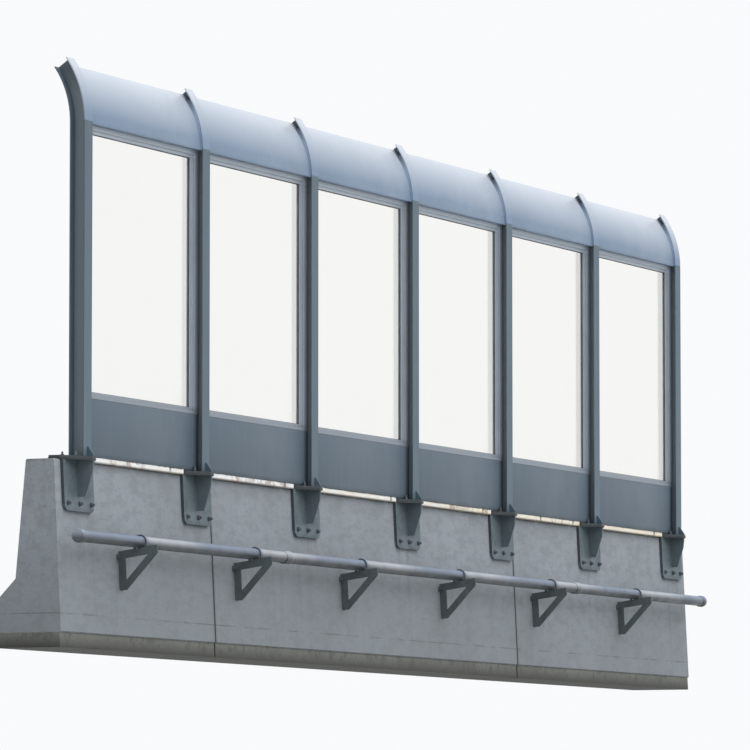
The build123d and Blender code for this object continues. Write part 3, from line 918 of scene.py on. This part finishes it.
def makeClamps():
    # A bent rod over the pipe, with both legs through the support's arm and nuts on each
    spec = clamp
    low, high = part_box("conduit")
    middle = (low + high) / 2
    bend = pipe["radius"] + spec["rod"] + spec["slack"]
    armTop = -pipe["radius"] - spec["seat"]
    legLow = armTop - spec["legReach"]
    underArm, overArm = spec["nutsFromArm"]
    one = bmesh.new()
    disc = bmesh.ops.create_circle(one, cap_ends=True, segments=spec["sides"], radius=spec["rod"],
                                   matrix=Matrix.Translation((0, -bend, 0)))["verts"]
    face = disc[0].link_faces[0]
    bmesh.ops.spin(one, geom=[face, *face.edges, *face.verts], cent=(0, 0, 0), axis=(1, 0, 0), angle=-pi,
                   steps=spec["bends"])
    for side in (-1, 1):
        addRod(one, spec["rod"], -legLow, Matrix.Translation((0, side * bend, legLow / 2)), spec["sides"])
        for level in (armTop - spec["armThickness"] - underArm, armTop + overArm):
            addRod(one, spec["nut"], spec["nutHeight"], Matrix.Translation((0, side * bend, level)), 6)
    bmesh.ops.recalc_face_normals(one, faces=list(one.faces))
    bm = bmesh.new()
    tilt = Matrix.Rotation(-radians(spec["armRise"]), 4, "X")
    for place in postPlaces[:-1]:
        spot = (place + spec["supportOffset"] + spec["alongArm"], middle.y, middle.z)
        stamp(bm, one, Matrix.Translation(spot) @ tilt)
    one.free()
    return finishPiece(bm, "pipeClamps", boltZinc, 40)


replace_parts(makePipe(), "conduit")
makeClamps()
print("pipe and clamps made")


# Bolts

wall = dict(foot=-0.277, lean=0.069)
wallAnchor = dict(size=0.0195, reach=0.03, spread=0.15, seed=5, spacing=0.185, drop=0.318, plate=0.024)
footBolt = dict(size=0.016, reach=0.036, spread=0.1, seed=8, spacing=0.21, setback=0.104, rows=(0.044, 0.155))
# The washer's far side, near side and half height. It and both bolts are measured from the leg's corner.
supportAnchor = dict(size=0.013, reach=0.03, seed=3, leg=0.03, drop=0.089, washer=(0.034, 0.0005, 0.022),
                     washerThickness=0.009, washerEdge=0.001, bolt=0.018, rise=0.06, lowerBolt=0.034,
                     flange=0.006)


def wallFaceAt(level):
    return wall["foot"] + wall["lean"] * level / row["wallTop"]


def makeBolts(name, spots, outwards, spec):
    # Nuts and stud ends, each turned and set a little differently
    rng = random.Random(spec["seed"])
    bm = bmesh.new()
    for spot in spots:
        reach = spec["reach"] * rng.uniform(1 - spec["spread"], 1 + spec["spread"])
        addNutAndStud(bm, spot, outwards, spec["size"], reach, rng.uniform(0, pi))
    return finishPiece(bm, name, boltZinc, 40)


def makeWallAnchors():
    spec = wallAnchor
    slope = atan2(wall["lean"], row["wallTop"])
    level = row["wallTop"] - spec["drop"]
    front = wallFaceAt(level) - spec["plate"]
    spots = [(place + index * spec["spacing"], front, level) for place in postPlaces for index in (-1, 0, 1)]
    return makeBolts("wallAnchors", spots, (0, -cos(slope), sin(slope)), spec)


def makeFootBolts():
    spec = footBolt
    front = wallFaceAt(row["wallTop"]) - spec["setback"]
    spots = [(place + side * spec["spacing"] / 2, front + across, row["footPlateTop"])
             for place in postPlaces for side in (-1, 1) for across in spec["rows"]]
    return makeBolts("footBolts", spots, (0, 0, 1), spec)


def makeSupportAnchors():
    # The upper anchor clamps the leg with a square washer, the lower one goes through the flange
    spec = supportAnchor
    low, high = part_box("conduit_brackets")
    outwards = (0, -1, wall["lean"] / row["wallTop"])
    far, near, half = spec["washer"]
    rng = random.Random(spec["seed"])
    bm = bmesh.new()
    for place in postPlaces[:-1]:
        leg = place + clamp["supportOffset"] - spec["leg"]
        level = high.z - spec["drop"]
        face = wallFaceAt(level)
        front = face - spec["washerThickness"]
        addBlock(bm, (leg - far, front, level - half), (leg - near, face, level + half), spec["washerEdge"])
        upper = (leg - spec["bolt"], front, level)
        level = low.z + spec["rise"]
        lower = (leg + spec["lowerBolt"], wallFaceAt(level) - spec["flange"], level)
        for spot in (upper, lower):
            addNutAndStud(bm, spot, outwards, spec["size"], spec["reach"], rng.uniform(0, pi))
    return finishPiece(bm, "supportAnchors", boltZinc, 40)


makeWallAnchors()
makeFootBolts()
makeSupportAnchors()
print("bolts made")


# Filler in the movement joints

def makeJointFiller():
    spec = joints
    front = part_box("edge_beam")[0].y
    half = spec["gap"] / 2
    bm = bmesh.new()
    for index in spec["posts"]:
        middle = postPlaces[index] + spec["offset"]
        made = addBlock(bm, (middle - half, front + spec["frontSetback"], spec["foot"]),
                        (middle + half, front + spec["depth"], row["wallTop"] - spec["topSetback"]))
        for vert in made:
            vert.co.y += wall["lean"] * vert.co.z / row["wallTop"]
    return finishPiece(bm, "jointFiller", rubber, 0)


makeJointFiller()
print("joint filler made")


# Floor, lights and camera

# Each lamp has its energy, its angle in degrees and the direction it comes from
studio = dict(floor=colour(230, 230, 228), floorForLight=(0.38, 0.38, 0.37, 1.0), floorLevel=0.0005,
              floorSize=150.0, sky=(0.90, 0.94, 1.0, 1.0), low=(0.62, 0.64, 0.66, 1.0), horizon=(-0.1, 0.6),
              leftToRight=(-0.9, 0.7, 0.72, 1.0), backdrop=(0.95, 0.96, 0.97, 1.0), lampHeight=12,
              lamps={"softKey": (1.5, 60, (0.05, -0.62, 0.78)), "roadSideFill": (0.9, 60, (0.2, 0.8, 0.56))})


def seenDirectly(tree):
    # 1 for rays from the camera, from glossy surfaces and through glass
    path = tree.nodes.new("ShaderNodeLightPath")
    seen = mathOf(tree, "MAXIMUM", path.outputs["Is Camera Ray"], path.outputs["Is Transmission Ray"])
    return mathOf(tree, "MAXIMUM", seen, path.outputs["Is Glossy Ray"])


def makeFloor():
    bm = bmesh.new()
    bmesh.ops.create_grid(bm, x_segments=1, y_segments=1, size=studio["floorSize"],
                          matrix=Matrix.Translation((0, 0, studio["floorLevel"])))
    mesh = bpy.data.meshes.new("studioFloor")
    bm.to_mesh(mesh)
    bm.free()
    floor = bpy.data.objects.new("studioFloor", mesh)
    bpy.context.scene.collection.objects.link(floor)
    material, tree, shader, _ = newMaterial("paleFloor")
    tone = mixOf(tree, seenDirectly(tree), studio["floorForLight"], studio["floor"])
    feed(tree, shader, {"Base Color": tone, "Roughness": 0.9})
    # Clear from below, because the camera looks up from under the floor's level
    below = tree.nodes.new("ShaderNodeNewGeometry").outputs["Backfacing"]
    clear = tree.nodes.new("ShaderNodeBsdfTransparent")
    shown = addNode(tree, "ShaderNodeMixShader", {0: below, 1: shader.outputs[0], 2: clear.outputs[0]})
    tree.links.new(shown.outputs[0], tree.nodes["Material Output"].inputs["Surface"])
    mesh.materials.append(material)


def makeLight():
    spec = studio
    world = bpy.data.worlds.new("studioSky")
    bpy.context.scene.world = world
    world.use_nodes = True
    tree = world.node_tree
    place = tree.nodes.new("ShaderNodeTexCoord").outputs["Generated"]
    along, _, height = axesOf(tree, place)
    tone = mixOf(tree, spanOf(tree, height, *spec["horizon"]), spec["low"], spec["sky"])
    # Brighter from the right than from the left
    lamp = feed(tree, tree.nodes["Background"], {"Color": tone,
                                                 "Strength": spanOf(tree, along, *spec["leftToRight"])})
    backdrop = addNode(tree, "ShaderNodeBackground", {"Color": spec["backdrop"], "Strength": 1.0})
    shown = addNode(tree, "ShaderNodeMixShader", {0: seenDirectly(tree), 1: lamp.outputs[0],
                                                  2: backdrop.outputs[0]})
    tree.links.new(shown.outputs[0], tree.nodes["World Output"].inputs["Surface"])
    for name, (energy, angle, comesFrom) in spec["lamps"].items():
        sun = bpy.data.lights.new(name, "SUN")
        sun.energy = energy
        sun.angle = radians(angle)
        lampObject = bpy.data.objects.new(name, sun)
        lampObject.matrix_world = aimAlong((0, 0, spec["lampHeight"]), comesFrom)
        bpy.context.scene.collection.objects.link(lampObject)


view = dict(place=(-45.0, -20.07, -1.47), target=(-0.2, -0.03, 2.44), lens=286, sensor=36, reach=1000)


def makeCamera():
    data = bpy.data.cameras.new("photoView")
    data.lens = view["lens"]
    data.sensor_width = view["sensor"]
    data.clip_end = view["reach"]
    camera = bpy.data.objects.new("photoView", data)
    backwards = Vector(view["place"]) - Vector(view["target"])
    turned = backwards.to_track_quat("Z", "Y").to_matrix().to_4x4()
    camera.matrix_world = Matrix.Translation(view["place"]) @ turned
    bpy.context.scene.collection.objects.link(camera)
    bpy.context.scene.camera = camera


makeFloor()
makeLight()
makeCamera()
bpy.context.scene.view_settings.view_transform = "Standard"
print("studio made")
